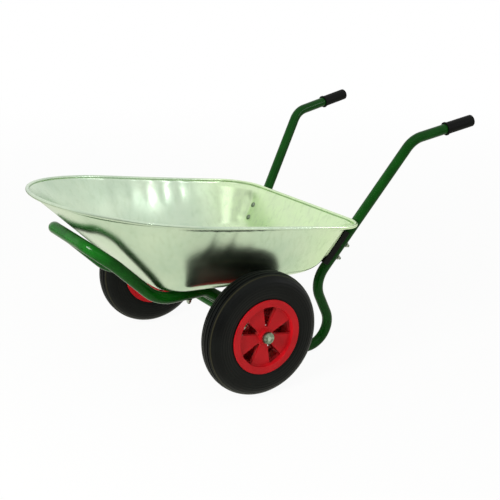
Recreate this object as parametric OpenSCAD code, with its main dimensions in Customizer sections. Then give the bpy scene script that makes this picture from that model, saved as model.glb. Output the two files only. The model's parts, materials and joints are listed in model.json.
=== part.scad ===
// Twin-wheel garden wheelbarrow, millimetres.
// It is laid out from the middle of the axle: +X to the handles, +Z up, mirrored about Y = 0.
// place() then moves everything so that the origin is on the ground under the middle of the length.

/* [Wheels] */
// Outside diameter of the inflated tyre
tyre_d = 346; // [330:2:360]
// Width of the inflated tyre at its widest
tyre_w = 77; // [74:1:86]
// Diameter of the rim flange that holds the tyre bead
rim_d = 208; // [200:1:214]
// Distance between the middles of the two tyres
track = 628; // [610:2:660]
// Width of the rim over its two flanges
rim_w = 76; // [70:1:80]
// Wall of the moulded rim
rim_wall = 3.2; // [2.5:0.1:4]
// Windows in each half of the rim
windows = 5; // [3:1:6]
// Width of a window at its outer end
window_w = 43; // [30:1:48]
// Width of a window at its inner end
window_tip = 9; // [4:1:12]
// Turn of the wheels at rest, from a window that points straight up
window_turn = 11; // [0:1:71]
// Distance from the middle of the wheel to the inner end of a window
window_in = 26; // [25:1:32]
// Distance from the middle of the wheel to the dished face's edge
dish_r = 84; // [80:1:86]
// Depth of the dished face below the flange
dish_depth = 10; // [6:1:14]
// Outside diameter of the moulded hub
hub_d = 40; // [36:1:42]
// Depth of a groove in the tread
groove_depth = 2.4; // [1:0.2:4]

/* [Axle] */
// Diameter of the steel axle bar
axle_d = 16; // [14:0.5:20]
// Gap all round between the axle and the bush that runs on it
bush_gap = 0.08; // [0.05:0.01:0.12]
// Wall of the plastic hub bush
bush_wall = 3; // [2:0.5:4]
// Diameter of the domed cap on each end of the axle
cap_d = 34; // [30:1:36]

/* [Frame tubes] */
// Thickness of the side plates that carry the axle
plate_t = 2.5; // [1.5:0.5:2.5]
// Outside diameter of the handle tubes
tube_d = 30; // [27:1:32]
// Outside diameter of the front frame's tube
loop_d = 33; // [28:1:34]
// Wall of every frame tube
tube_wall = 1.5; // [1.2:0.1:2.5]
// Distance from the middle to each side of the front loop
loop_y = 148; // [140:1:150]
// How far the front bar stands ahead of the axle
loop_reach = 394; // [360:2:400]
// Gap between the front loop and the nose of the tray
loop_gap = 1.5; // [0.5:0.5:4]
// Distance up the nose of the tray to the bend where the loop kicks out
kick_rise = 165; // [150:1:180]
// Radius of that bend
kick_r = 300; // [200:10:400]
// Angle by which the top of the front loop kicks out from the tray
loop_kick = 5; // [2:0.5:10]
// Radius of the two upper corners of the front loop
loop_r = 62; // [50:1:90]
// Radius of the bend that turns the loop under the tray
sill_r = 110; // [60:5:150]
// How far the loop runs back under the tray before it drops, measured ahead of the axle
drop_x = 68; // [60:1:80]
// Angle at which the loop drops towards the axle
drop_a = 35; // [25:1:45]
// Radius of the bends in the drop
drop_r = 40; // [32:1:50]

/* [Legs and handles] */
// Angle of the lower leg behind the vertical
kick_a = 26.2; // [18:0.2:29]
// Distance from the floor's back end down the line of the rear wall to the knee
knee_drop = 43; // [34:1:50]
// Radius of the knee above the leg
knee_r = 95; // [80:5:120]
// Radius of the foot that stands on the ground
foot_r = 69.5; // [55:0.5:75]
// Inward lean of the lower leg, from the knee to the ground
toe_a = 3.8; // [2:0.1:6]
// Distance from the middle to each handle where it passes the tray floor
handle_y = 195; // [190:1:205]
// Angle at which the handles spread apart as they rise
spread_a = 10.7; // [4:0.1:12]
// Distance up the rear wall from the tray floor to the bend of the handle
handle_rise = 448; // [400:2:480]
// Radius of the bend of the handle
handle_r = 70; // [50:5:100]
// Slope of the hand grip
hand_a = 10; // [0:1:15]
// Outward turn of the hand grip
hand_out = 5.4; // [0:0.2:10]
// Length from the bend of the handle to the end of the grip
hand_len = 214; // [190:1:240]
// Length of the rubber grip
grip_len = 98; // [80:1:120]
// Wall of the rubber grip
grip_wall = 2.4; // [2:0.2:4]

/* [Tray] */
// Height of the underside of the tray floor
floor_z = 274; // [270:1:290]
// Thickness of the tray sheet
sheet = 1.2; // [1:0.1:2]
// Diameter of the rolled edge
bead_d = 10; // [8:0.5:12]
// Half of the width at the rolled edge
rim_half_w = 322; // [310:1:330]
// Height of the rolled edge over the axle
rim_h = 466; // [450:1:490]
// Fall of the rolled edge for each millimetre towards the handles
rim_fall = 0.163; // [0.14:0.001:0.18]
// Lift that curves the rolled edge up towards both ends
rim_sheer = 0.00002; // [0:0.00001:0.00004]
// Distance from the axle to the rolled edge at the nose
rim_front_x = 480; // [460:1:500]
// Distance from the axle to the widest place of the nose curve
nose_x = 130; // [100:1:160]
// Distance from the axle to the rolled edge at the back
rim_rear_x = 365; // [355:1:380]
// Radius of the rear corners at the rolled edge
rim_corner = 95; // [80:1:110]
// Radius of the wall's rear corners just under the rolled edge, where the wall flares out to meet it
wall_corner = 142; // [100:1:150]
// Distance from the axle to the front end of the floor
floor_front_x = 205; // [195:1:215]
// Distance from the axle to the back end of the floor
floor_rear_x = 275; // [265:1:285]
// Half of the floor width at its front end
floor_front_w = 196; // [185:1:205]
// Half of the floor width at its back end
floor_rear_w = 244; // [235:1:255]
// Radius of the front corners of the floor
floor_front_r = 70; // [40:1:90]
// Radius of the rear corners of the floor
floor_rear_r = 78; // [40:1:90]
// Radius between the floor and the walls
floor_fillet = 66; // [40:1:80]
// How far the sides of the floor bow out half way along
floor_bow = 18; // [0:1:26]
// How far the side walls bow out half way up
wall_bow = 5; // [0:0.5:6]

/* [Fixings] */
// Diameter of the tray bolts
bolt_d = 8; // [6:1:10]
// Gap all round between a bolt and its hole
bolt_gap = 0.25; // [0.15:0.05:0.5]
// Distance ahead of the axle to the two floor bolts
floor_bolt_x = 120; // [100:1:140]
// Distance up the rear wall to the lower rear bolt
rear_bolt_low = 55; // [50:1:60]
// Distance up the rear wall between the two rear bolts
rear_bolt_step = 43; // [35:1:50]
// Thickness of the block between the rear wall and the handle
block_t = 16; // [12:1:20]
// Length of that block
block_len = 112; // [100:1:125]
// Width of that block
block_w = 36; // [32:1:40]

/* [Hidden] */
SIDES = ["left", "right"];
FRAME_NODES = ["tray", "front_frame", "axle", "axle_brackets", "axle_caps", "axle_washers", "split_pins",
    "floor_bolts", "floor_nuts", "floor_washers", "rear_bolts", "rear_nuts", "rear_washers"];
SIDE_NODES = ["handle", "grip", "tray_block", "tyre", "inner_tube", "valve", "rim_outer", "rim_inner",
    "rim_screws", "hub_bushes"];
$fn = 64;

tube_r = tube_d / 2;
axle_r = axle_d / 2;
axle_z = tyre_d / 2;
bead_r = bead_d / 2;
// Straight runs enter each bend by this much, and the bend is this much fatter, so that they join cleanly.
lap = 1;
swell = 0.1;

// ---------- vectors ----------
function unit(v) = v / norm(v);
function lerp(a, b, t) = a + (b - a) * t;
function angle_between(a, b) = acos(max(-1, min(1, unit(a) * unit(b))));
// Matrix that puts the axes u, v, w of a child at the point o
function axes(u, v, w, o) = [[u.x, v.x, w.x, o.x], [u.y, v.y, w.y, o.y], [u.z, v.z, w.z, o.z], [0, 0, 0, 1]];
// Matrix that stands a child's +Z along w at the point o
function along(w, o) =
    let (s = abs(w.y) > 0.9 ? [1, 0, 0] : [0, 1, 0], u = unit(cross(s, w)), v = cross(w, u))
    axes(u, v, w, o);
// Outline whose corners p = [x, y, r] are rounded to r with n steps each
function rounded(p, n = 6) =
    let (m = len(p))
    [for (i = [0:m - 1])
        let (q = [p[i].x, p[i].y],
             a = unit([p[(i + m - 1) % m].x, p[(i + m - 1) % m].y] - q),
             b = unit([p[(i + 1) % m].x, p[(i + 1) % m].y] - q),
             half = acos(max(-1, min(1, a * b))) / 2,
             c = q + unit(a + b) * p[i].z / sin(half),
             from = q + a * p[i].z / tan(half) - c,
             to = q + b * p[i].z / tan(half) - c)
        for (k = [0:p[i].z > 0 ? n : 0])
            p[i].z > 0 ? c + unit(lerp(from, to, k / n)) * p[i].z : q];

// ---------- shared placing ----------
module on_side(s) mirror([0, s == "left" ? 1 : 0, 0]) children();
module both_sides() for (s = SIDES) on_side(s) children();
// Wheel frame: +Z is the wheel's axis, pointing outwards
module at_wheel() translate([0, track / 2, axle_z]) rotate([-90, 0, 0]) children();

// ---------- bent tubes ----------
module straight(a, b, d)
    multmatrix(along(unit(b - a), a))
        cylinder(d = d, h = norm(b - a));
module elbow(p, a, b, r, d) {
    turn = angle_between(a, b);
    w = unit(cross(a, b));
    multmatrix(axes(cross(a, w), a, w, p + unit(b - a) * r / cos(turn / 2)))
        rotate_extrude(angle = turn)
            translate([r, 0])
                circle(d = d);
}
// A round bar of diameter d through the points p, bent at each inner point to the radius r
module bent_bar(p, r, d) {
    n = len(p);
    dir = [for (i = [0:n - 2]) unit(p[i + 1] - p[i])];
    cut = [for (i = [0:n - 1])
        i == 0 || i == n - 1 ? 0 : r[i] * tan(angle_between(dir[i - 1], dir[i]) / 2) - lap];
    for (i = [0:n - 2])
        straight(p[i] + dir[i] * cut[i], p[i + 1] - dir[i] * cut[i + 1], d);
    for (i = [1:n - 2])
        elbow(p[i], dir[i - 1], dir[i], r[i], d + swell);
}
module bent_tube(p, r, d)
    difference() {
        bent_bar(p, r, d);
        bent_bar(p, r, d - 2 * tube_wall);
    }

// ---------- tray lines that the frame follows ----------
function rim_z(x) = rim_h - rim_fall * x + rim_sheer * x * x;
rear_lean = atan2(rim_rear_x - floor_rear_x, rim_z(rim_rear_x) - floor_z);
// Rear wall frame: +Z up the wall, +X square out of it, from the back end of the floor
module on_rear_wall() translate([floor_rear_x, 0, floor_z]) rotate([0, rear_lean, 0]) children();
handle_off = block_t + tube_r;
function handle_at(s) = [
    floor_rear_x + s * sin(rear_lean) + handle_off * cos(rear_lean),
    handle_y + s * tan(spread_a),
    floor_z + s * cos(rear_lean) - handle_off * sin(rear_lean)];

// ---------- handles and legs ----------
hand_dir = [cos(hand_a) * cos(hand_out), cos(hand_a) * sin(hand_out), sin(hand_a)];
grip_r = tube_r + grip_wall;
grip_end_t = 4;
grip_edge = 3;
knee = handle_at(-knee_drop);
bend = handle_at(handle_rise);
grip_tip = bend + hand_dir * hand_len;
// The leg and the front loop both run this far past the axle, which passes through them
tail = 12;
axle_fit = 0.1;
// The lower leg lies in one plane: u runs back along +X from the knee, v runs down the plane
function leg_at(u, v) = knee + [u, -v * sin(toe_a), -v * cos(toe_a)];
foot_v = (knee.z - tube_r - swell / 2) / cos(toe_a) - foot_r;
foot_u = foot_v * tan(kick_a) - foot_r / cos(kick_a);
axle_u = -knee.x;
axle_v = (knee.z - axle_z) / cos(toe_a);
// Slope of the run that rises from the foot to the axle, tangent to the foot
rise_a = atan2(foot_v - axle_v, foot_u - axle_u) + asin(foot_r / norm([foot_u - axle_u, foot_v - axle_v]));
// Where the leg's line meets the line of that run
corner_v = (axle_v - axle_u * tan(rise_a)) / (1 - tan(kick_a) * tan(rise_a));
foot_corner = leg_at(corner_v * tan(kick_a), corner_v);
leg_end = leg_at(axle_u - tail * cos(rise_a), axle_v - tail * sin(rise_a));
module axle_hole()
    translate([0, 0, axle_z]) rotate([90, 0, 0]) cylinder(r = axle_r + axle_fit, h = track, center = true);
module handle() {
    color("forestgreen")
        difference() {
            bent_tube([grip_tip - hand_dir * grip_end_t, bend, knee, foot_corner, leg_end],
                [0, handle_r, knee_r, foot_r, 0], tube_d);
            axle_hole();
            rear_bolt_places() fixing_hole(handle_off + tube_r + 2);
        }
}
module grip() {
    collar_r = grip_r + 2.5;
    color("black")
        multmatrix(along(-hand_dir, grip_tip))
            rotate_extrude()
                difference() {
                    polygon(rounded([[0, 0, 0], [grip_r, 0, grip_edge], [grip_r, grip_len - 5, 1.5],
                        [collar_r, grip_len - 4, 1], [collar_r, grip_len, 1], [0, grip_len, 0]]));
                    translate([0, grip_end_t])
                        square([tube_r + 0.05, grip_len]);
                }
}

// ---------- front frame ----------
front_a = atan2(rim_z(-rim_front_x) - floor_z, rim_front_x - floor_front_x);
front_out = [-sin(front_a), 0, -cos(front_a)];
front_up = [-cos(front_a), 0, sin(front_a)];
floor_front = [-floor_front_x, 0, floor_z];
// The loop's legs stand off the wall; its runs meet at sill_corner, kick_corner and loop_corner
loop_off = loop_d / 2 + loop_gap;
sill_z = floor_z - loop_d / 2;
sill_corner = floor_front + front_out * loop_off
    + front_up * (loop_off * cos(front_a) - loop_d / 2) / sin(front_a);
kick_corner = floor_front + front_out * loop_off + front_up * kick_rise;
kick_dir = [-cos(front_a - loop_kick), 0, sin(front_a - loop_kick)];
loop_corner = kick_corner + kick_dir * (loop_reach + kick_corner.x) / cos(front_a - loop_kick);
drop_start = [-drop_x, 0, sill_z];
drop_foot_x = 15;
drop_end = [-drop_foot_x, 0, sill_z - (drop_x - drop_foot_x) * tan(drop_a)];
axle_mid = [0, 0, axle_z];
loop_half = [axle_mid + unit(axle_mid - drop_end) * tail, drop_end, drop_start, sill_corner, kick_corner,
    loop_corner];
loop_radii = [0, drop_r, drop_r, sill_r, kick_r, loop_r];
module front_frame() {
    side = [0, loop_y, 0];
    last = len(loop_half) - 1;
    path = concat([for (p = loop_half) p + side], [for (i = [last:-1:0]) loop_half[i] - side]);
    color("forestgreen")
        difference() {
            bent_tube(path, concat(loop_radii, [for (i = [last:-1:0]) loop_radii[i]]), loop_d);
            axle_hole();
            floor_bolt_places() fixing_hole(loop_d + 1);
        }
}

// ---------- axle ----------
plate_gap = 0.2;
plate_y = loop_y + loop_d / 2 + plate_gap + plate_t / 2;
// Edges of a side plate, measured from the middle of the axle
plate_low = 28;
plate_back = 22;
plate_shoulder = 30;
plate_front = 42;
plate_top = 54;
plate_corner = 12;
bush_flange = 2;
side_gap = 0.3;
washer_t = 1.6;
axle_washer_d = 30;
washer_out = rim_w / 2 + bush_flange + side_gap;
cap_seat = washer_out + washer_t + 0.1;
cap_h = 8;
cap_t = 2.2;
// The axle stops this far short of the inside of each cap
axle_short = 0.3;
pin_d = 3.2;
pin_gap = 0.2;
pin_over = 8;
pin_eye_r = 3.2;
pin_wire = 2;
pin_z = -(washer_out + washer_t + pin_d / 2 + pin_gap);
module axle() {
    half = track / 2 + cap_seat + cap_h - cap_t - axle_short;
    color("forestgreen")
        difference() {
            translate([0, 0, axle_z])
                rotate([90, 0, 0])
                    cylinder(r = axle_r, h = 2 * half, center = true);
            both_sides() at_wheel() translate([0, 0, pin_z]) rotate([90, 0, 0])
                cylinder(d = pin_d + pin_gap, h = axle_d + 2, center = true);
        }
}
module axle_brackets() {
    c = plate_corner;
    outline = rounded([[4 - plate_shoulder, -plate_low, c], [plate_back, -plate_low, c],
        [plate_back, plate_shoulder, c], [-plate_shoulder, plate_top, c - 2],
        [-plate_front, plate_shoulder, c - 2]]);
    color("forestgreen")
        both_sides()
            translate([0, plate_y + plate_t / 2, axle_z])
                rotate([90, 0, 0])
                    linear_extrude(plate_t)
                        difference() {
                            polygon(outline);
                            circle(r = axle_r + axle_fit);
                        }
}
module axle_caps() {
    edge = cap_d / 2;
    color("gainsboro")
        both_sides() at_wheel() translate([0, 0, cap_seat])
            rotate_extrude()
                difference() {
                    polygon(rounded([[0, 0, 0], [edge, 0, 0.4], [edge, 2, 0.6], [edge - 1.6, cap_h - 1, 3],
                        [0, cap_h, 0]]));
                    square([axle_r + 0.05, cap_h - cap_t]);
                }
}
module washer(d, bore, t) difference() {
    cylinder(d = d, h = t);
    translate([0, 0, -1]) cylinder(d = bore, h = t + 2);
}
module axle_washers() {
    color("silver")
        both_sides() at_wheel() for (side = [-1, 1])
            mirror([0, 0, side < 0 ? 1 : 0]) translate([0, 0, washer_out])
                washer(axle_washer_d, axle_d + 0.3, washer_t);
}
module split_pins() {
    leg = axle_d + pin_over;
    color("silver")
        both_sides() at_wheel() translate([0, 0, pin_z]) rotate([90, 0, 0]) {
            translate([0, 0, -leg / 2]) cylinder(d = pin_d, h = leg);
            translate([0, 0, leg / 2 + pin_eye_r]) rotate([90, 0, 0])
                rotate_extrude() translate([pin_eye_r, 0]) circle(d = pin_wire);
        }
}

// ---------- wheels ----------
rim_r = rim_d / 2;
// The tyre's beads sit on a seat this far inside the flange, and the well between them is lower still
seat_drop = 8;
seat_r = rim_r - seat_drop;
seat_z = 18;
well_r = dish_r;
well_z = 11;
lip_t = 3.4;
face_z = rim_w / 2;
dish_z = face_z - dish_depth;
bush_r = axle_r + bush_gap + bush_wall;
bush_len = 24;
bush_flange_d = 30;
screw_r = 42;
screw_d = 4.6;
screw_head_d = 9;
screw_sink = 3.3;
screw_past = 15;
boss_d = 12;
boss_h = dish_z - 1;
skirt_h = 12;
valve_z = -9;
valve_d = 8;
module rim_window(grow) {
    outer = dish_r - rim_wall + grow;
    half = window_w / 2 + grow;
    tip = window_tip / 2 + grow;
    polygon(rounded([[window_in - grow, -tip, 1.5], [outer, -half, 4], [outer + 1.5, 0, 0], [outer, half, 4],
        [window_in - grow, tip, 1.5]], 4));
}
// Each window, or each spoke at half a step on
module round_windows(turn = 0)
    for (i = [0:windows - 1]) rotate([0, 0, -90 + window_turn + turn + 360 / windows * i]) children();
module rim_shell() rotate_extrude() {
    w = rim_wall;
    hub = hub_d / 2;
    polygon(rounded([
        [well_r, 0, 0], [well_r, well_z, 2], [seat_r, seat_z, 2], [seat_r, face_z - 7, 1.5],
        [rim_r, face_z - lip_t, 1], [rim_r, face_z, 1.6], [dish_r, face_z - 0.6, 1],
        [dish_r - 1.5, dish_z, 1.5], [hub, dish_z, 2], [hub, face_z, 1], [bush_r, face_z, 0],
        [bush_r, 0, 0], [hub - w, 0, 0], [hub - w, 1, 0], [hub, dish_z - w, 2],
        [dish_r + w - 1.5, dish_z - w, 0.5], [dish_r + w - 1, face_z - w - 1, 0.5],
        [seat_r - w, face_z - w - 1, 0.5], [seat_r - w, seat_z + w, 1], [well_r - w, well_z + w / 2, 1],
        [well_r - w, 0, 0]], 3));
}
module rim_half() {
    difference() {
        union() {
            rim_shell();
            // Skirts that stiffen the edges of the windows
            difference() {
                round_windows() translate([0, 0, dish_z - skirt_h])
                    linear_extrude(skirt_h - 0.5) rim_window(rim_wall * 0.8);
                rotate_extrude() translate([dish_r - rim_wall, -1]) square([40, face_z * 2]);
                cylinder(r = hub_d / 2 - 1, h = face_z);
            }
            round_windows(180 / windows) translate([screw_r, 0, 0]) cylinder(d = boss_d, h = boss_h);
        }
        round_windows() translate([0, 0, -1]) linear_extrude(rim_w) rim_window(0);
    }
}
module rim_outer() {
    color("crimson")
        at_wheel()
            difference() {
                rim_half();
                round_windows(180 / windows) translate([screw_r, 0, -1])
                    cylinder(d = screw_d + 0.2, h = screw_past + 3);
            }
}
module rim_inner() {
    color("crimson")
        at_wheel() mirror([0, 0, 1])
            difference() {
                rim_half();
                round_windows(180 / windows) translate([screw_r, 0, 0]) {
                    translate([0, 0, -1]) cylinder(d = screw_d + 0.8, h = rim_w);
                    translate([0, 0, dish_z - screw_sink - 0.1]) cylinder(d = screw_head_d + 1, h = rim_w);
                }
                valve_place() cylinder(d = valve_d + 1, h = 60, center = true);
            }
}
module rim_screws() {
    seat = dish_z - screw_sink;
    color("silver")
        at_wheel() mirror([0, 0, 1])
            round_windows(180 / windows) translate([screw_r, 0, 0]) {
                translate([0, 0, seat]) cylinder(d1 = screw_head_d, d2 = screw_head_d - 1, h = 3);
                translate([0, 0, -screw_past]) cylinder(d = screw_d, h = seat + screw_past + 0.5);
            }
}
// The valve stands in the well of the inner half, behind the lowest spoke, and points at the hub
module valve_place()
    rotate([0, 0, 90 + window_turn]) translate([well_r, 0, -valve_z]) rotate([0, -90, 0]) children();
module hub_bushes() {
    color("black")
        at_wheel() for (side = [-1, 1])
            mirror([0, 0, side < 0 ? 1 : 0])
                difference() {
                    union() {
                        translate([0, 0, face_z - bush_len]) cylinder(r = bush_r - 0.02, h = bush_len + 0.5);
                        translate([0, 0, face_z + 0.02]) cylinder(d = bush_flange_d, h = bush_flange - 0.02);
                    }
                    cylinder(r = axle_r + bush_gap, h = rim_w);
                }
}
// Half outline of the inflated casing: bulge a wide and crown c high above casing_r
shoulder = 0.95;
casing_r = rim_r + (tyre_d / 2 - rim_r) / 2;
function casing(a, c, n = 10) = [for (k = [0:n])
    let (t = 90 * k / n) [casing_r + c * pow(cos(t), shoulder), a * pow(sin(t), shoulder)]];
module turned(half)
    rotate_extrude() polygon(concat(half, [for (i = [len(half) - 1:-1:0]) [half[i].x, -half[i].y]]));
tyre_wall = 5;
tread_t = 9;
tread_grooves = [-25:10:25];
groove_w = 3;
flank_drop = 15;
module tyre() {
    crown = tyre_d / 2 - casing_r;
    a = tyre_w / 2;
    outside = concat(casing(a, crown), [[casing_r - flank_drop, a - 0.4], [rim_r + 8, a - 2],
        [rim_r + 1.4, a - 4.4], [rim_r + 0.5, face_z - 3.6], [seat_r + 0.4, face_z - 7.4],
        [seat_r + 0.4, seat_z + 3]]);
    inside = concat(casing(a - tyre_wall, crown - tread_t), [[casing_r - flank_drop, a - tyre_wall - 0.2],
        [rim_r + 8, a - tyre_wall - 2], [rim_r + 1, 25.5], [seat_r + 4, seat_z + 1], [seat_r - 3, seat_z + 1]]);
    color("dimgray")
        at_wheel() difference() {
            turned(outside);
            turned(inside);
            for (z = tread_grooves)
                rotate_extrude() translate([tyre_d / 2 - groove_depth - abs(z) * 0.15, z - groove_w / 2])
                    square([groove_depth + tread_t, groove_w]);
        }
}
tube_skin = 2;
module inner_tube() {
    a = tyre_w / 2 - tyre_wall - 0.6;
    c = tyre_d / 2 - casing_r - tread_t - 0.8;
    t = tube_skin;
    color("dimgray")
        at_wheel() difference() {
            turned(concat(casing(a, c), [[casing_r - flank_drop, a - 0.4], [rim_r + 8, a - 2.4],
                [rim_r, a - 10.5], [seat_r + 2.6, seat_z - 1]]));
            turned(concat(casing(a - t, c - t), [[casing_r - flank_drop + 0.4, a - t - 0.4],
                [rim_r + 8.6, a - t - 2.6], [rim_r + 1.6, a - t - 10], [seat_r + 4.6, seat_z - 3]]));
            mirror([0, 0, 1]) valve_place() cylinder(d = valve_d - 2, h = 80, center = true);
        }
}
module valve() {
    color("dimgray")
        at_wheel() mirror([0, 0, 1]) valve_place() difference() {
            union() {
                translate([0, 0, well_r - seat_r - 2]) cylinder(d = valve_d + 5, h = 1.4);
                translate([0, 0, well_r - seat_r - 2]) cylinder(d = valve_d, h = 30);
                translate([0, 0, 14]) cylinder(d = valve_d + 1.6, h = 9);
            }
            translate([0, 0, well_r - seat_r - 3]) cylinder(d = 3, h = 20);
        }
}

// ---------- tray ----------
// Both outlines start at the middle of the back and run round the far side to the middle of the nose.
REAR = 4;
REAR_ARC = 14;
SIDE = 8;
NOSE_ARC = 15;
NOSE = 10;
function eased(t) = let (c = max(0, min(1, t))) c * c * (3 - 2 * c);
// Rises from 0 to 1 half way along and falls back to 0, with soft ends
function swelling(t) = let (c = max(0, min(1, t))) pow(sin(180 * c), 2);
function rim_outline(r) = let (y = rim_half_w, x = rim_rear_x) concat(
    [for (k = [0:REAR - 1]) [x, (y - r) * k / REAR]],
    [for (k = [0:REAR_ARC]) let (a = 90 * k / REAR_ARC) [x - r + r * cos(a), y - r + r * sin(a)]],
    [for (k = [1:SIDE]) [lerp(x - r, -nose_x, k / (SIDE + 1)), y]],
    [for (k = [0:NOSE_ARC + NOSE]) let (a = 90 * k / (NOSE_ARC + NOSE))
        [-nose_x - (rim_front_x - nose_x) * sin(a), y * cos(a)]]);
// Outline of the floor's sharp edge, drawn in by g
function floor_outline(g) =
    let (xr = floor_rear_x - g, xf = -floor_front_x + g, r = floor_rear_r, q = floor_front_r,
         slope = (floor_rear_w - floor_front_w) / (floor_rear_x + floor_front_x),
         wr = floor_rear_w - g, wf = floor_front_w - g, c = [xr - r, wr - r - slope * r], e = [xf + q, wf - q],
         turn = atan(slope), out = [-sin(turn), cos(turn)])
    concat(
    [for (k = [0:REAR - 1]) [xr, c.y * k / REAR]],
    [for (k = [0:REAR_ARC]) let (a = (90 + turn) * k / REAR_ARC) c + r * [cos(a), sin(a)]],
    [for (k = [1:SIDE]) let (t = k / (SIDE + 1))
        lerp(c + r * out, e + q * out, t) + floor_bow * swelling(t) * out],
    [for (k = [0:NOSE_ARC]) let (a = 90 + turn + (90 - turn) * k / NOSE_ARC) e + q * [cos(a), sin(a)]],
    [for (k = [1:NOSE]) [xf, e.y * (1 - k / NOSE)]]);
function closed(half) = concat(half, [for (i = [len(half) - 2:-1:1]) [half[i].x, -half[i].y]]);

// The curve between floor and wall starts this far from their corner on both sides
floor_reach = floor_fillet * 0.55;
FILLET_STEPS = [0, 0.25, 0.5, 0.75];
// The wall's rings lie closest together where the pads of the rear bolts are
WALL_STEPS = [0, 0.09, 0.17, 0.25, 0.33, 0.41, 0.5, 0.6, 0.7, 0.8, 0.92];
BEAD_STEPS = 10;
// The sheet is pulled flat onto the plane of the rear wall where the blocks are bolted to it
rear_out = [cos(rear_lean), 0, -sin(rear_lean)];
rear_up = [sin(rear_lean), 0, cos(rear_lean)];
rear_bolt_mid = rear_bolt_low + rear_bolt_step / 2;
pad_half = [14, 34];
pad_soft = 16;
function pulled(p) =
    let (v = p - [floor_rear_x, 0, floor_z],
         up = v * rear_up,
         across = abs(abs(p.y) - handle_y - up * tan(spread_a)) - pad_half.x,
         far = max(across, abs(up - rear_bolt_mid) - pad_half.y))
    p.x < floor_rear_x - rim_corner ? p : p - rear_out * (v * rear_out) * (1 - eased(far / pad_soft));
// The side walls bow out between the floor and the rolled edge, but not the nose and the rear corners
bow_fade_y = 70;
bow_fade_x = 100;
bow_rear_x = rim_rear_x - 65;
bow_in_y = rim_half_w - bow_fade_y - 12;
function bowed(p, r) = p + [0, sign(r.y) * wall_bow * swelling((p.z - floor_z) / (r.z - floor_z))
    * eased((abs(r.y) - bow_in_y) / bow_fade_y) * eased((bow_rear_x - r.x) / bow_fade_x), 0];
// Points up the outside of the tray at one place on the outline, from the floor to the rolled edge
function section(f, k, r, aim) =
    let (up = unit(r - k), foot = k + up * floor_reach, top = r - up * (bead_r + 0.5))
    concat([for (t = FILLET_STEPS) bowed(lerp(lerp(f, k, t), lerp(k, foot, t), t), r)],
        [for (t = WALL_STEPS) bowed(pulled(lerp(foot, aim - up * bead_r, t)), r)], [top]);
module tray() {
    rim = [for (p = closed(rim_outline(rim_corner))) [p.x, p.y, rim_z(p.x)]];
    aim = [for (p = closed(rim_outline(wall_corner))) [p.x, p.y, rim_z(p.x)]];
    sharp = [for (p = closed(floor_outline(0))) [p.x, p.y, floor_z]];
    flat = [for (p = closed(floor_outline(floor_reach))) [p.x, p.y, floor_z]];
    n = len(rim);
    outside = [for (i = [0:n - 1]) section(flat[i], sharp[i], rim[i], aim[i])];
    m = len(outside[0]);
    inside = [for (i = [0:n - 1]) [for (j = [0:m - 1])
        let (du = outside[(i + 1) % n][j] - outside[(i + n - 1) % n][j],
             dv = outside[i][min(j + 1, m - 1)] - outside[i][max(j - 1, 0)])
        outside[i][j] - unit(cross(du, dv)) * sheet]];
    // The sheet curls over the wire at the rolled edge and stops just short of the wall
    bead = [for (i = [0:n - 1])
        let (t = rim[(i + 1) % n] - rim[(i + n - 1) % n], out = unit([t.y, -t.x, 0]),
             w = unit(rim[i] - sharp[i]), lean = atan2(w.z, w * out))
        [for (k = [0:BEAD_STEPS])
            let (a = lerp(lean + 180 - 16, lean - 180 + 4, k / BEAD_STEPS))
            rim[i] + bead_r * (out * cos(a) + [0, 0, sin(a)])]];
    rings = 2 * m + BEAD_STEPS + 1;
    skin = [for (i = [0:n - 1]) concat(inside[i], bead[i], [for (j = [m - 1:-1:0]) outside[i][j]])];
    color("gainsboro")
        difference() {
            polyhedron(
                points = concat([for (i = [0:n - 1]) for (j = [0:rings - 1]) skin[i][j]],
                    [[0, 0, floor_z + sheet], [0, 0, floor_z]]),
                faces = concat(
                    [for (i = [0:n - 1]) [n * rings, (i + 1) % n * rings, i * rings]],
                    [for (i = [0:n - 1])
                        [n * rings + 1, i * rings + rings - 1, (i + 1) % n * rings + rings - 1]],
                    [for (i = [0:n - 1]) for (j = [0:rings - 2])
                        let (a = i * rings + j, b = (i + 1) % n * rings + j)
                        [a, b, b + 1, a + 1]]));
            floor_bolt_places() fixing_hole(sheet);
            both_sides() rear_bolt_places() fixing_hole(sheet);
        }
}

// ---------- fixings ----------
head_h = 4;
head_d = 17;
nut_h = 6.5;
nut_d = 15;
flat_t = 1.5;
flat_d = 18;
seat_gap = 0.1;
nut_gap = 0.05;
floor_tip = loop_d + 13;
rear_tip = handle_off + tube_r + 16;
// Each place has its origin on the outside of the tray sheet and +Z pointing out of the tray
module floor_bolt_places()
    both_sides() translate([-floor_bolt_x, loop_y, floor_z]) rotate([180, 0, 0]) children();
module rear_bolt_places()
    on_rear_wall()
        for (s = [rear_bolt_low, rear_bolt_low + rear_bolt_step])
            translate([0, handle_y + s * tan(spread_a), s]) rotate([0, 90, 0]) children();
module fixing_hole(depth) translate([0, 0, -10]) cylinder(r = bolt_d / 2 + bolt_gap, h = depth + 10);
// Round-headed bolt: the head sits h above the outside of the sheet
module bolt(h, tip) {
    translate([0, 0, -h]) mirror([0, 0, 1]) rotate_extrude()
        polygon(rounded([[0, 0, 0], [head_d / 2, 0, 0.3], [head_d / 2, 1, 0.5], [head_d / 4, head_h, 6],
            [0, head_h, 0]], 4));
    translate([0, 0, -h - 0.5]) cylinder(d = bolt_d, h = tip + h + 0.5 - 1);
    translate([0, 0, tip - 1]) cylinder(d1 = bolt_d, d2 = bolt_d - 2, h = 1);
}
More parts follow.
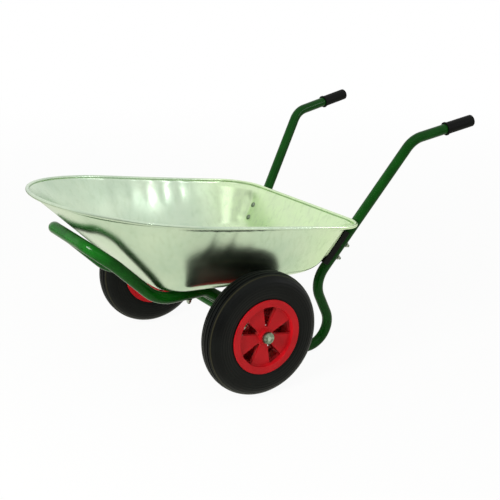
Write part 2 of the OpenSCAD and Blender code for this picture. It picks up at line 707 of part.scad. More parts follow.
// Hexagon nut whose corners are turned down at both ends
module nut() difference() {
    far = nut_d / 2 + 0.2;
    intersection() {
        cylinder(d = nut_d, h = nut_h, $fn = 6);
        rotate_extrude()
            polygon([[0, 0], [far - 1, 0], [far, 0.8], [far, nut_h - 0.8], [far - 1, nut_h], [0, nut_h]]);
    }
    translate([0, 0, -1]) cylinder(r = bolt_d / 2 + 0.05, h = nut_h + 2);
}
module flat_washer() washer(flat_d, bolt_d + 0.6, flat_t);
head_seat = sheet + 0.2;
module floor_bolts() color("silver") floor_bolt_places() bolt(head_seat, floor_tip);
module floor_nuts()
    color("silver") floor_bolt_places() translate([0, 0, loop_d + seat_gap + flat_t + nut_gap]) nut();
module floor_washers() color("silver") floor_bolt_places() translate([0, 0, loop_d + seat_gap]) flat_washer();
module rear_bolts() color("silver") both_sides() rear_bolt_places() bolt(head_seat, rear_tip);
module rear_nuts()
    color("silver") both_sides() rear_bolt_places()
        translate([0, 0, handle_off + tube_r + seat_gap + flat_t + nut_gap]) nut();
module rear_washers()
    color("silver") both_sides() rear_bolt_places()
        translate([0, 0, handle_off + tube_r + seat_gap]) flat_washer();
module tray_block() {
    half = block_w / 2;
    deep = block_t + 6;
    color("black")
        difference() {
            on_rear_wall()
                translate([0, handle_y + rear_bolt_mid * tan(spread_a), rear_bolt_mid])
                    rotate([-spread_a, 0, 0])
                        linear_extrude(block_len, center = true)
                            difference() {
                                polygon(rounded([[0.05, -half, 2], [deep, -half, 3], [deep, half, 3],
                                    [0.05, half, 2]]));
                                translate([handle_off, 0]) circle(r = tube_r + 0.05);
                            }
            rear_bolt_places() fixing_hole(handle_off);
        }
}

// ---------- placing ----------
front_x = -rim_front_x - bead_r;
rear_x = grip_tip.x + grip_edge * (1 - hand_dir.x) + (grip_r - grip_edge) * sqrt(1 - hand_dir.x * hand_dir.x);
module place(s = "right") translate([-(front_x + rear_x) / 2, 0, 0]) on_side(s) children();

place() tray();
place() front_frame();
place() axle();
place() axle_brackets();
place() axle_caps();
place() axle_washers();
place() split_pins();
place() floor_bolts();
place() floor_nuts();
place() floor_washers();
place() rear_bolts();
place() rear_nuts();
place() rear_washers();
place("left") handle();  // handle_left
place("left") grip();  // grip_left
place("left") tray_block();  // tray_block_left
place("left") tyre();  // tyre_left
place("left") inner_tube();  // inner_tube_left
place("left") valve();  // valve_left
place("left") rim_outer();  // rim_outer_left
place("left") rim_inner();  // rim_inner_left
place("left") rim_screws();  // rim_screws_left
place("left") hub_bushes();  // hub_bushes_left
place("right") handle();  // handle_right
place("right") grip();  // grip_right
place("right") tray_block();  // tray_block_right
place("right") tyre();  // tyre_right
place("right") inner_tube();  // inner_tube_right
place("right") valve();  // valve_right
place("right") rim_outer();  // rim_outer_right
place("right") rim_inner();  // rim_inner_right
place("right") rim_screws();  // rim_screws_right
place("right") hub_bushes();  // hub_bushes_right
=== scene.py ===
import json
import math

import bmesh
import bpy
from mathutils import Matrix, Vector


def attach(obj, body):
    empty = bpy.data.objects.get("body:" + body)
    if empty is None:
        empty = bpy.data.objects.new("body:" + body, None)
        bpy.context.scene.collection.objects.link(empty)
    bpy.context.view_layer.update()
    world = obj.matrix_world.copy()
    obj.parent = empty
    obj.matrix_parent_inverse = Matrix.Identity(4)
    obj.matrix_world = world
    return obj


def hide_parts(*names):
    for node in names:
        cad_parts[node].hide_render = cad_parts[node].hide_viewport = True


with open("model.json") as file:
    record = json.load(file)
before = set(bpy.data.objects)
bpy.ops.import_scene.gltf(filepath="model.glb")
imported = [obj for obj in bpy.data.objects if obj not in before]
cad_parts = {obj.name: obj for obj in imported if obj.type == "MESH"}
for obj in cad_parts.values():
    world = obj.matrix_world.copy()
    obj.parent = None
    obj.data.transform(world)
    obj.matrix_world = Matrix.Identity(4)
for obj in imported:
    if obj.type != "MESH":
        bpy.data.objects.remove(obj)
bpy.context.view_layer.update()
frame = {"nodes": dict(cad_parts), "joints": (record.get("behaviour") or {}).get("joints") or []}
nodes = frame["nodes"]
scene = bpy.context.scene

# ---------- camera ----------
# A long lens that stands a little above the tray, in front of the nose and to the left of it,
# and looks past the left wheel at the middle of the barrow.
CAMERA_PLACE = (-1.4264, -2.231, 1.167)
CAMERA_AIM = (0.0379, 0, 0.2877)
LENS_MM = 67.42
SENSOR_MM = 36


def put_in(name, data):
    made = bpy.data.objects.new(name, data)
    scene.collection.objects.link(made)
    return made


def facing(place, aim):
    return (Vector(aim) - Vector(place)).to_track_quat("-Z", "Y").to_euler()


camera = put_in("camera", bpy.data.cameras.new("camera"))
scene.camera = camera
camera.location = CAMERA_PLACE
camera.rotation_euler = facing(CAMERA_PLACE, CAMERA_AIM)
camera.data.sensor_width = SENSOR_MM
camera.data.lens = LENS_MM
camera.data.clip_start = 0.05
camera.data.clip_end = 50

# ---------- light ----------
# A white room that darkens behind the camera, with a bright patch above it. The tray mirrors the side
# window and not the key lamp. The left lamp lights only the front loop, for its glints, and the right
# lamp is small, so that it leaves small glints.
WHITE = (1, 1, 1, 1)
DARK_WAY = (-0.50, -0.78, 0.15)
BRIGHT_WAY = (-0.14, -0.67, 0.73)
LAMP_AIM = (0, 0, 0.4)


def plug(tree, socket, value):
    if isinstance(value, bpy.types.NodeSocket):
        tree.links.new(value, socket)
    else:
        socket.default_value = value


def add(tree, kind, inputs=(), **settings):
    made = tree.nodes.new(kind)
    for name, value in settings.items():
        setattr(made, name, value)
    for name, value in dict(inputs).items():
        plug(tree, made.inputs[name], value)
    return made


def maths(tree, operation, a, b=0.0, c=0.0):
    return add(tree, "ShaderNodeMath", {0: a, 1: b, 2: c}, operation=operation).outputs[0]


def vectors(tree, operation, *values):
    made = add(tree, "ShaderNodeVectorMath", dict(enumerate(values)), operation=operation)
    gives_number = operation in ("DOT_PRODUCT", "DISTANCE", "LENGTH")
    return made.outputs["Value" if gives_number else "Vector"]


def remap(tree, value, low, high, to_low=0.0, to_high=1.0):
    made = add(tree, "ShaderNodeMapRange", {"Value": value, "From Min": low, "From Max": high,
        "To Min": to_low, "To Max": to_high}, interpolation_type="SMOOTHSTEP")
    return made.outputs[0]


def tint(red, green, blue):
    def linear(value):
        value = value / 255
        return value / 12.92 if value <= 0.04045 else ((value + 0.055) / 1.055) ** 2.4
    return (linear(red), linear(green), linear(blue), 1)


def lamp(name, place, width, height, power, shade, aim=LAMP_AIM):
    made = put_in(name, bpy.data.lights.new(name, "AREA"))
    made.location = place
    made.rotation_euler = facing(place, aim)
    made.data.shape = "RECTANGLE"
    made.data.size = width
    made.data.size_y = height
    made.data.energy = power
    made.data.color = shade[:3]
    return made


scene.view_settings.view_transform = "Standard"
scene.world = bpy.data.worlds.new("room")
scene.world.use_nodes = True
room = scene.world.node_tree
room.nodes.clear()
room_ray = add(room, "ShaderNodeLightPath").outputs
room_way = add(room, "ShaderNodeTexCoord").outputs["Generated"]
room_up = add(room, "ShaderNodeSeparateXYZ", {0: room_way}).outputs["Z"]
room_dark = remap(room, vectors(room, "DOT_PRODUCT", room_way, DARK_WAY), 0.35, 0.95, 1.0, 0.45)
room_top = remap(room, room_up, 0.55, 0.9, 0.0, 0.6)
room_bright = remap(room, vectors(room, "DOT_PRODUCT", room_way, BRIGHT_WAY), 0.925, 1.0, 0.0, 0.8)
room_shade = maths(room, "ADD", maths(room, "MAXIMUM", room_dark, room_top), room_bright)
room_share = maths(room, "MULTIPLY_ADD", room_ray["Is Glossy Ray"], 0.5, 0.5)
room_lit = add(room, "ShaderNodeBackground", {"Color": tint(250, 252, 248),
    "Strength": maths(room, "MULTIPLY", room_shade, room_share)})
room_seen = add(room, "ShaderNodeBackground", {"Color": WHITE, "Strength": 1})
room_mix = add(room, "ShaderNodeMixShader", {0: room_ray["Is Camera Ray"], 1: room_lit.outputs[0],
    2: room_seen.outputs[0]})
add(room, "ShaderNodeOutputWorld", {0: room_mix.outputs[0]})

lamp("side_window", (2.4, -2.0, 1.48), width=0.8, height=0.3, power=8, shade=tint(250, 252, 255))
key_lamp = lamp("key", (-3.1, -1.0, 1.7), width=1.5, height=1.5, power=105, shade=tint(255, 254, 250),
    aim=(0, 0, 0.3))
key_lamp.visible_glossy = False
left_lamp = lamp("left_lamp", (-2.2, -0.3, 2.6), width=1.0, height=1.0, power=150, shade=WHITE)
loop_glints = bpy.data.collections.new("loop_glints")
loop_glints.objects.link(nodes["front_frame"])
left_lamp.light_linking.receiver_collection = loop_glints
lamp("right_lamp", (-1.0, -2.4, 2.4), width=0.10, height=0.10, power=1.5, shade=WHITE)

# ---------- floor ----------
# A sheet of pale paper that runs off on every side and takes a faint shadow. It looks almost white
# to the camera, and in mirror images it has its own even light, which fades far out.
PAPER_HALF = 9
PAPER_DROP = 0.0005

floor_mesh = bpy.data.meshes.new("floor")
floor_shape = bmesh.new()
bmesh.ops.create_grid(floor_shape, x_segments=1, y_segments=1, size=PAPER_HALF)
floor_shape.to_mesh(floor_mesh)
floor_shape.free()
floor = put_in("floor", floor_mesh)
floor.location = (0, 0, -PAPER_DROP)
floor_look = bpy.data.materials.new("floor")
floor_look.use_nodes = True
paper = floor_look.node_tree
paper.nodes.clear()
paper_ray = add(paper, "ShaderNodeLightPath").outputs
paper_far = vectors(paper, "LENGTH", add(paper, "ShaderNodeTexCoord").outputs["Object"])
paper_plain = add(paper, "ShaderNodeBsdfDiffuse", {"Color": tint(243, 244, 240)})
paper_seen = add(paper, "ShaderNodeEmission", {"Color": WHITE, "Strength": 1})
paper_bright = add(paper, "ShaderNodeEmission", {"Color": tint(250, 252, 236),
    "Strength": remap(paper, paper_far, 0.5, 3.0, 1.0, 0.45)})
paper_white = maths(paper, "MULTIPLY", paper_ray["Is Camera Ray"],
    remap(paper, paper_far, 1.0, 5.0, 0.94, 1.0))
paper_share = maths(paper, "MULTIPLY", paper_ray["Is Glossy Ray"], 0.85)
paper_mix = add(paper, "ShaderNodeMixShader", {0: paper_white, 1: paper_plain.outputs[0],
    2: paper_seen.outputs[0]})
paper_mirrored = add(paper, "ShaderNodeMixShader", {0: paper_share, 1: paper_mix.outputs[0],
    2: paper_bright.outputs[0]})
add(paper, "ShaderNodeOutputMaterial", {0: paper_mirrored.outputs[0]})
floor_mesh.materials.append(floor_look)

# ---------- tray ----------
# One deep-drawn sheet of galvanised steel: a flat floor, walls that flare to the nose and a wire-rolled
# edge. The draw leaves soft upright ripples in the walls near the nose, and the sheet is pulled flat at
# the rear where the blocks are bolted to it. Places are measured from the middle of the axle.
wheel_joint = frame["joints"][0]
AXLE_X = wheel_joint["pos_m"][0]
SHEET = 0.0012
BEAD_R = 0.005
BEAD_GAP = 0.0005
BEAD_FROM = math.radians(164)
BEAD_TO = math.radians(-176)

RIM_H = 0.466
RIM_FALL = 0.163
RIM_SHEER = 0.02
RIM_HALF_W = 0.322
RIM_REAR_X = 0.365
RIM_FRONT_X = 0.480
NOSE_X = 0.130
RIM_CORNER = 0.095
WALL_CORNER = 0.142

FLOOR_Z = 0.274
FLOOR_REAR_X = 0.275
FLOOR_FRONT_X = 0.205
FLOOR_REAR_W = 0.244
FLOOR_FRONT_W = 0.196
FLOOR_REAR_R = 0.078
FLOOR_FRONT_R = 0.070
FLOOR_BOW = 0.018
FOOT_R = 0.066
FOOT_REACH = 0.55 * FOOT_R

WALL_SHARE = 0.92
WALL_BOW = 0.005
BOW_FROM_Y = 0.24
BOW_SOFT_Y = 0.07
BOW_TO_X = 0.30
BOW_SOFT_X = 0.10

HANDLE_Y = 0.195
HANDLE_SPREAD = math.radians(10.7)
PAD_FRONT_X = 0.20
PAD_HALF_W = 0.012
PAD_LOW = 0.0465
PAD_HIGH = 0.1065
PAD_SOFT = 0.022
PAD_SOFTER_ABOVE = 0.5

RIPPLE_DEPTH = 0.0016
RIPPLE_PITCH = 0.0565
RIPPLE_CREST_X = -0.09
RIPPLE_FRONT_X = -0.17
RIPPLE_REAR_X = 0.18
RIPPLE_SOFT_X = 0.06
RIPPLE_FROM_Y = 0.15
RIPPLE_SOFT_Y = 0.08
RIPPLE_FROM_HIGH = 0.5
RIPPLE_SOFT_HIGH = 0.3
RIPPLE_EDGE = 0.06

# Steps along one half of the rim and of the floor, from the rear to the nose, then up the wall
REAR_STEPS = 8
CORNER_STEPS = 28
SIDE_STEPS = 18
FRONT_CORNER_STEPS = 30
FRONT_STEPS = 20
FOOT_STEPS = 8
WALL_STEPS = 23
BEAD_STEPS = 18


def lerp(a, b, t):
    return a + (b - a) * t


def eased(t):
    t = max(0.0, min(1.0, t))
    return t * t * (3 - 2 * t)


def rim_height(x):
    return RIM_H - RIM_FALL * x + RIM_SHEER * x * x


def rim_line(corner):
    line = [Vector((RIM_REAR_X, (RIM_HALF_W - corner) * k / REAR_STEPS)) for k in range(REAR_STEPS)]
    for k in range(CORNER_STEPS + 1):
        turn = math.pi / 2 * k / CORNER_STEPS
        x = RIM_REAR_X - corner + corner * math.cos(turn)
        line.append(Vector((x, RIM_HALF_W - corner + corner * math.sin(turn))))
    for k in range(1, SIDE_STEPS):
        line.append(Vector((lerp(RIM_REAR_X - corner, -NOSE_X, k / SIDE_STEPS), RIM_HALF_W)))
    nose_steps = FRONT_CORNER_STEPS + FRONT_STEPS
    for k in range(nose_steps + 1):
        turn = math.pi / 2 * k / nose_steps
        x = -NOSE_X - (RIM_FRONT_X - NOSE_X) * math.sin(turn)
        line.append(Vector((x, RIM_HALF_W * math.cos(turn))))
    return line


def floor_line(inset):
    rear = FLOOR_REAR_X - inset
    front = -FLOOR_FRONT_X + inset
    slope = (FLOOR_REAR_W - FLOOR_FRONT_W) / (FLOOR_REAR_X + FLOOR_FRONT_X)
    toe_in = math.atan(slope)
    side = Vector((-math.sin(toe_in), math.cos(toe_in)))
    rear_mid = Vector((rear - FLOOR_REAR_R, FLOOR_REAR_W - inset - FLOOR_REAR_R - slope * FLOOR_REAR_R))
    front_mid = Vector((front + FLOOR_FRONT_R, FLOOR_FRONT_W - inset - FLOOR_FRONT_R))
    line = [Vector((rear, rear_mid.y * k / REAR_STEPS)) for k in range(REAR_STEPS)]
    for k in range(CORNER_STEPS + 1):
        turn = (math.pi / 2 + toe_in) * k / CORNER_STEPS
        line.append(rear_mid + FLOOR_REAR_R * Vector((math.cos(turn), math.sin(turn))))
    for k in range(1, SIDE_STEPS):
        along = k / SIDE_STEPS
        bow = FLOOR_BOW * math.sin(math.pi * k / SIDE_STEPS) ** 2
        straight = lerp(rear_mid + FLOOR_REAR_R * side, front_mid + FLOOR_FRONT_R * side, along)
        line.append(straight + side * bow)
    for k in range(FRONT_CORNER_STEPS + 1):
        turn = math.pi / 2 + toe_in + (math.pi / 2 - toe_in) * k / FRONT_CORNER_STEPS
        line.append(front_mid + FLOOR_FRONT_R * Vector((math.cos(turn), math.sin(turn))))
    for k in range(1, FRONT_STEPS + 1):
        line.append(Vector((front, front_mid.y * (1 - k / FRONT_STEPS))))
    return line


def closed(half):
    return half + [Vector((point.x, -point.y)) for point in half[-2:0:-1]]


def on_floor(half):
    return [Vector((point.x, point.y, FLOOR_Z)) for point in closed(half)]


def on_rim(half):
    return [Vector((point.x, point.y, rim_height(point.x))) for point in closed(half)]


def pulled_flat(point):
    if point.x < PAD_FRONT_X:
        return point
    lean = math.atan2(RIM_REAR_X - FLOOR_REAR_X, rim_height(RIM_REAR_X) - FLOOR_Z)
    out = Vector((math.cos(lean), 0, -math.sin(lean)))
    rise = Vector((math.sin(lean), 0, math.cos(lean)))
    from_foot = point - Vector((FLOOR_REAR_X, 0, FLOOR_Z))
    up = from_foot.dot(rise)
    across = abs(abs(point.y) - HANDLE_Y - up * math.tan(HANDLE_SPREAD)) - PAD_HALF_W
    along = max((up - PAD_HIGH) * PAD_SOFTER_ABOVE, PAD_LOW - up)
    away = math.hypot(max(0, across), max(0, along))
    return point - out * from_foot.dot(out) * (1 - eased(away / PAD_SOFT))


def bowed(point, rim):
    share = eased((abs(rim.y) - BOW_FROM_Y) / BOW_SOFT_Y) * eased((BOW_TO_X - rim.x) / BOW_SOFT_X)
    high = max(0.0, min(1.0, (point.z - FLOOR_Z) / (rim.z - FLOOR_Z)))
    bow = Vector((0, math.copysign(WALL_BOW, rim.y), 0))
    return point + bow * share * math.sin(math.pi * high) ** 2


def rippled(point, normal, rim):
    high = (point.z - FLOOR_Z) / (rim.z - FLOOR_Z)
    from_front = eased((point.x - RIPPLE_FRONT_X) / RIPPLE_SOFT_X)
    along = from_front * eased((RIPPLE_REAR_X - point.x) / RIPPLE_SOFT_X)
    depth = RIPPLE_DEPTH * along * eased((high - RIPPLE_FROM_HIGH) / RIPPLE_SOFT_HIGH)
    depth *= eased((1 - high) / RIPPLE_EDGE)
    depth *= eased((abs(point.y) - RIPPLE_FROM_Y) / RIPPLE_SOFT_Y)
    wave = math.cos((point.x - RIPPLE_CREST_X) / RIPPLE_PITCH * 2 * math.pi)
    return point + normal * wave * depth


def wall_column(flat, corner, rim, aim):
    rise = (rim - corner).normalized()
    foot = corner + rise * FOOT_REACH
    turns = [k / FOOT_STEPS for k in range(FOOT_STEPS)]
    column = [lerp(lerp(flat, corner, t), lerp(corner, foot, t), t) for t in turns]
    for k in range(WALL_STEPS + 1):
        column.append(pulled_flat(lerp(foot, aim - rise * BEAD_R, WALL_SHARE * k / WALL_STEPS)))
    top = rim - rise * (BEAD_R + BEAD_GAP)
    column += [lerp(column[-1], top, 0.5), top]
    return [bowed(point, rim) for point in column]


def column_normals(before, column, after):
    normals = []
    last = len(column) - 1
    for k in range(last + 1):
        along = after[k] - before[k]
        up = column[min(k + 1, last)] - column[max(k - 1, 0)]
        normals.append(along.cross(up).normalized())
    return normals


def rolled_edge(rim, corner, along):
    out = Vector((along.y, -along.x, 0)).normalized()
    wall = (rim - corner).normalized()
    lean = math.atan2(wall.z, wall.dot(out))
    edge = []
    for k in range(BEAD_STEPS + 1):
        turn = lerp(lean + BEAD_FROM, lean + BEAD_TO, k / BEAD_STEPS)
        edge.append(rim + BEAD_R * (out * math.cos(turn) + Vector((0, 0, math.sin(turn)))))
    return edge


def tray_rings():
    rim = on_rim(rim_line(RIM_CORNER))
    aim = on_rim(rim_line(WALL_CORNER))
    corner = on_floor(floor_line(0))
    flat = on_floor(floor_line(FOOT_REACH))
    columns = [wall_column(*places) for places in zip(flat, corner, rim, aim)]
    rings = []
    for here, column in enumerate(columns):
        after = (here + 1) % len(columns)
        normals = column_normals(columns[here - 1], column, columns[after])
        outside = [rippled(point, normal, rim[here]) for point, normal in zip(column, normals)]
        inside = [point - normal * SHEET for point, normal in zip(outside, normals)]
        edge = rolled_edge(rim[here], corner[here], rim[after] - rim[here - 1])
        rings.append(inside + edge + outside[::-1])
    return rings


def press_tray():
    shape = bmesh.new()
    axle = Vector((AXLE_X, 0, 0))
    rings = [[shape.verts.new(point + axle) for point in ring] for ring in tray_rings()]
    floor_top = shape.verts.new((AXLE_X, 0, FLOOR_Z + SHEET))
    floor_under = shape.verts.new((AXLE_X, 0, FLOOR_Z))
    for ring, beside in zip(rings, rings[1:] + rings[:1]):
        shape.faces.new((floor_top, beside[0], ring[0]))
        shape.faces.new((floor_under, ring[-1], beside[-1]))
        for k in range(len(ring) - 1):
            shape.faces.new((ring[k], beside[k], beside[k + 1], ring[k + 1]))
    bmesh.ops.recalc_face_normals(shape, faces=shape.faces[:])
    for face in shape.faces:
        face.smooth = True
    mesh = bpy.data.meshes.new("pressed_tray")
    shape.to_mesh(mesh)
    shape.free()
    return mesh


pressed_tray = put_in("pressed_tray", press_tray())
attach(pressed_tray, "frame")
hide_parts("tray")


def noise(tree, place, scale, detail, roughness=0.5):
    made = add(tree, "ShaderNodeTexNoise", {"Vector": place, "Scale": scale, "Detail": detail,
        "Roughness": roughness})
    return made.outputs["Fac"]


def blend_colours(tree, amount, a, b):
    made = add(tree, "ShaderNodeMix", data_type="RGBA")
    for name, value in (("Factor_Float", amount), ("A_Color", a), ("B_Color", b)):
        plug(tree, next(s for s in made.inputs if s.identifier == name), value)
    return next(s for s in made.outputs if s.identifier == "Result_Color")


def new_look(name):
    made = bpy.data.materials.new(name)
    made.use_nodes = True
    tree = made.node_tree
    tree.nodes.clear()
    surface = add(tree, "ShaderNodeBsdfPrincipled")
    add(tree, "ShaderNodeOutputMaterial", {0: surface.outputs[0]})
    return made, tree, surface


def feed(tree, surface, **values):
    for name, value in values.items():
        plug(tree, surface.inputs[name.replace("_", " ")], value)


ZINC_BLUE = tint(188, 207, 186)
ZINC_GREY = tint(208, 225, 202)
ZINC_REAR_PAINTED_LIGHT = tint(223, 246, 199)
ZINC_DRAWN = tint(172, 192, 164)
ZINC_MOTTLE = tint(218, 228, 206)
LINES_PER_M = (80, 80, 7)
PAD_MIDDLE = (0.179, 0.21, 0.338)

galvanised, zinc, zinc_surface = new_look("galvanised_sheet")
zinc_place = add(zinc, "ShaderNodeTexCoord").outputs["Object"]
zinc_xyz = add(zinc, "ShaderNodeSeparateXYZ", {0: zinc_place}).outputs

# Cloudy patches, painted light that makes the rear lighter and warmer, fine lines up the draw and a mottle
zinc_mottle = noise(zinc, zinc_place, 14, 5, 0.6)
zinc_haze = noise(zinc, zinc_place, 3.5, 2)
zinc_drawn = noise(zinc, vectors(zinc, "MULTIPLY", zinc_place, LINES_PER_M), 1, 3)
zinc_cool = blend_colours(zinc, remap(zinc, zinc_haze, 0.35, 0.65), ZINC_BLUE, ZINC_GREY)
# Painted light: the rear of the tray is painted a lighter, warmer zinc, standing in for the light it
# catches
zinc_rear_painted_light = blend_colours(zinc, remap(zinc, zinc_xyz["X"], -0.05, 0.2), zinc_cool, ZINC_REAR_PAINTED_LIGHT)
zinc_lined = blend_colours(zinc, remap(zinc, zinc_drawn, 0.45, 0.75, 0, 0.28), zinc_rear_painted_light, ZINC_DRAWN)
zinc_colour = blend_colours(zinc, remap(zinc, zinc_mottle, 0.3, 0.7, 0, 0.3), zinc_lined, ZINC_MOTTLE)

# Duller towards the rear, and most round the bolted blocks
zinc_mirrored = add(zinc, "ShaderNodeCombineXYZ", {"X": zinc_xyz["X"],
    "Y": maths(zinc, "ABSOLUTE", zinc_xyz["Y"]), "Z": zinc_xyz["Z"]})
zinc_away = vectors(zinc, "DISTANCE", zinc_mirrored.outputs[0], PAD_MIDDLE)
zinc_worn = remap(zinc, zinc_away, 0.03, 0.10, 0.20, 0.0)
zinc_soft = remap(zinc, zinc_xyz["X"], 0.10, 0.24, 0.0, 0.12)
zinc_rough = maths(zinc, "ADD", remap(zinc, zinc_mottle, 0.3, 0.7, 0.22, 0.26),
    maths(zinc, "MAXIMUM", zinc_soft, zinc_worn))

# The foot of the outer side walls is shaded as if it stood more upright, so that it mirrors the tyres
zinc_facing = add(zinc, "ShaderNodeNewGeometry").outputs["Normal"]
zinc_turn = add(zinc, "ShaderNodeSeparateXYZ", {0: zinc_facing}).outputs
zinc_across = remap(zinc, maths(zinc, "ABSOLUTE", zinc_turn["Y"]), 0.7, 0.9)
zinc_under = remap(zinc, zinc_turn["Z"], -0.15, -0.3)
zinc_low = remap(zinc, zinc_xyz["Z"], 0.29, 0.395, 0.45, 0.03)
zinc_lift = maths(zinc, "MULTIPLY", maths(zinc, "MULTIPLY", zinc_across, zinc_under), zinc_low)
zinc_lean = add(zinc, "ShaderNodeCombineXYZ", {"Z": zinc_lift}).outputs[0]
zinc_upright = vectors(zinc, "NORMALIZE", vectors(zinc, "ADD", zinc_facing, zinc_lean))
zinc_spangle = add(zinc, "ShaderNodeTexVoronoi", {"Vector": zinc_place, "Scale": 90})
zinc_bump = add(zinc, "ShaderNodeBump", {"Strength": 0.01, "Distance": 0.001,
    "Height": zinc_spangle.outputs["Distance"], "Normal": zinc_upright})
feed(zinc, zinc_surface, Base_Color=zinc_colour, Metallic=1.0, Roughness=zinc_rough,
    Normal=zinc_bump.outputs[0])
pressed_tray.data.materials.append(galvanised)

# ---------- tube frame ----------
# Mild steel tube and plate, cold bent and welded, under a gloss green powder coat. The front loop
# carries the tray's floor, and each side tube is handle, leg and foot in one.
SURFACE_INPUTS = {"Place": "Vector", "Patch": "Float", "Grain": "Float", "Depth": "Float", "Deep": "Color",
    "Pale": "Color", "Worn": "Color", "Wear": "Float", "Smooth": "Float", "Dull": "Float"}
SURFACE_OUTPUTS = {"Colour": "Color", "Roughness": "Float", "Normal": "Vector"}


# Patches from deep to pale, a fine grain, and convex edges rubbed to the worn colour
def fine_surface():
    group = bpy.data.node_groups.new("fine_surface", "ShaderNodeTree")
    for way, sockets in (("INPUT", SURFACE_INPUTS), ("OUTPUT", SURFACE_OUTPUTS)):
        for name, kind in sockets.items():
            group.interface.new_socket(name, in_out=way, socket_type="NodeSocket" + kind)
    given = add(group, "NodeGroupInput").outputs
    patch = remap(group, noise(group, given["Place"], given["Patch"], 5), 0.3, 0.7)
    grain = noise(group, given["Place"], given["Grain"], 3)
    edge = remap(group, add(group, "ShaderNodeNewGeometry").outputs["Pointiness"], 0.52, 0.60)
    rubbed = remap(group, maths(group, "ADD", edge, grain), 0.9, 1.3)
    wear = maths(group, "MULTIPLY", rubbed, given["Wear"])
    colour = blend_colours(group, patch, given["Deep"], given["Pale"])
    dulling = maths(group, "SUBTRACT", given["Dull"], given["Smooth"])
    bumps = add(group, "ShaderNodeBump", {"Strength": given["Depth"], "Distance": 0.001, "Height": grain})
    add(group, "NodeGroupOutput", {"Colour": blend_colours(group, wear, colour, given["Worn"]),
        "Roughness": maths(group, "MULTIPLY_ADD", patch, dulling, given["Smooth"]),
        "Normal": bumps.outputs[0]})
    return group


surface_group = fine_surface()


def finish(tree, surface, group_values, **surface_values):
    place = add(tree, "ShaderNodeTexCoord").outputs["Object"]
    skin = add(tree, "ShaderNodeGroup", {"Place": place, **group_values}, node_tree=surface_group).outputs
    feed(tree, surface, Base_Color=skin["Colour"], Roughness=skin["Roughness"], Normal=skin["Normal"],
        **surface_values)
    return skin


def dress(look, *names):
    for name in names:
        for slot in nodes[name].material_slots:
            slot.material = look


green, coat, coat_surface = new_look("green_paint")
finish(coat, coat_surface, {"Patch": 22, "Grain": 420, "Depth": 0.02, "Deep": tint(9, 62, 11),
    "Pale": tint(14, 72, 15), "Worn": tint(60, 110, 58), "Wear": 0.5, "Smooth": 0.14, "Dull": 0.20},
    Specular_IOR_Level=0.10)
dress(green, "front_frame", "handle_left", "handle_right", "axle", "axle_brackets")

# ---------- wheels ----------
# Two moulded plastic rim halves, screwed together round an inflated rubber tyre that has fine moulded
# rings on its walls. The crests of the rings next to the tread are painted tan, a painted highlight.
AXLE_Z = wheel_joint["pos_m"][2]
RING_PITCH = 0.0075
RING_DEPTH = 0.0006
RING_HIGHLIGHT_FROM_R = 0.160
RING_HIGHLIGHT_TO_R = 0.170
RING_HIGHLIGHT_TAN = tint(84, 80, 54)

red, mould, mould_surface = new_look("red_plastic")
finish(mould, mould_surface, {"Patch": 18, "Grain": 260, "Depth": 0.08, "Deep": tint(182, 15, 25),
    "Pale": tint(196, 21, 31), "Worn": tint(214, 70, 70), "Wear": 0.4, "Smooth": 0.40, "Dull": 0.46},
    Specular_IOR_Level=0.16)
dress(red, "rim_outer_left", "rim_outer_right", "rim_inner_left", "rim_inner_right")

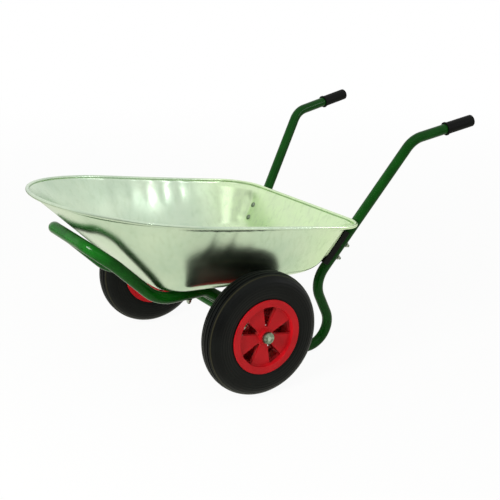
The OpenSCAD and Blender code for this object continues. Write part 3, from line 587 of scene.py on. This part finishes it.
black, tyre, tyre_surface = new_look("tyre_rubber")
tyre_skin = finish(tyre, tyre_surface, {"Patch": 16, "Grain": 300, "Depth": 0.15, "Deep": tint(7, 8, 8),
    "Pale": tint(13, 15, 14), "Worn": tint(44, 40, 26), "Wear": 0.6, "Smooth": 0.40, "Dull": 0.50},
    Specular_IOR_Level=0.12)
tyre_place = add(tyre, "ShaderNodeTexCoord").outputs["Object"]
tyre_radius = vectors(tyre, "LENGTH",
    vectors(tyre, "MULTIPLY_ADD", tyre_place, (1, 0, 1), (-AXLE_X, 0, -AXLE_Z)))
tyre_ring = maths(tyre, "SINE", maths(tyre, "MULTIPLY", tyre_radius, 2 * math.pi / RING_PITCH))
tyre_rings = add(tyre, "ShaderNodeBump", {"Strength": 0.35, "Distance": RING_DEPTH, "Height": tyre_ring,
    "Normal": tyre_skin["Normal"]})
# Painted highlight: a tan colour on the ring crests next to the tread, where light catches their edges
tyre_ring_highlight = maths(tyre, "MULTIPLY", remap(tyre, tyre_ring, 0.4, 1.0),
    remap(tyre, tyre_radius, RING_HIGHLIGHT_FROM_R, RING_HIGHLIGHT_TO_R))
tyre_colour = blend_colours(tyre, maths(tyre, "MULTIPLY", tyre_ring_highlight, 0.3), tyre_skin["Colour"], RING_HIGHLIGHT_TAN)
feed(tyre, tyre_surface, Base_Color=tyre_colour, Normal=tyre_rings.outputs[0])
dress(black, "tyre_left", "tyre_right", "inner_tube_left", "inner_tube_right", "valve_left", "valve_right")

# ---------- fixings and caps ----------
# Zinc-plated bolts, nuts, washers, screws and split pins, and the pressed caps pushed over the ends of
# the axle. The plating is mottled and duller than a polished one.
plated, plate, plate_surface = new_look("bright_zinc")
finish(plate, plate_surface, {"Patch": 120, "Grain": 120, "Depth": 0.3, "Deep": tint(80, 92, 78),
    "Pale": tint(156, 170, 150), "Worn": tint(206, 212, 200), "Wear": 0.5, "Smooth": 0.26, "Dull": 0.38},
    Metallic=0.9)
dress(plated, "axle_caps", "axle_washers", "split_pins", "floor_bolts", "floor_nuts", "floor_washers",
    "rear_bolts", "rear_nuts", "rear_washers", "rim_screws_left", "rim_screws_right")

# ---------- grips, blocks and bushes ----------
# Soft rubber sleeves pushed on to the handles, hard black plastic blocks bolted between the tray and
# the handles, and black plastic bushes pressed into the hubs. They share one dull black.
sleeves, sleeve, sleeve_surface = new_look("grip_rubber")
finish(sleeve, sleeve_surface, {"Patch": 20, "Grain": 350, "Depth": 0.2, "Deep": tint(6, 7, 7),
    "Pale": tint(10, 11, 10), "Worn": tint(30, 30, 28), "Wear": 0.3, "Smooth": 0.50, "Dull": 0.60},
    Specular_IOR_Level=0.10)
dress(sleeves, "grip_left", "grip_right", "tray_block_left", "tray_block_right", "hub_bushes_left",
    "hub_bushes_right")
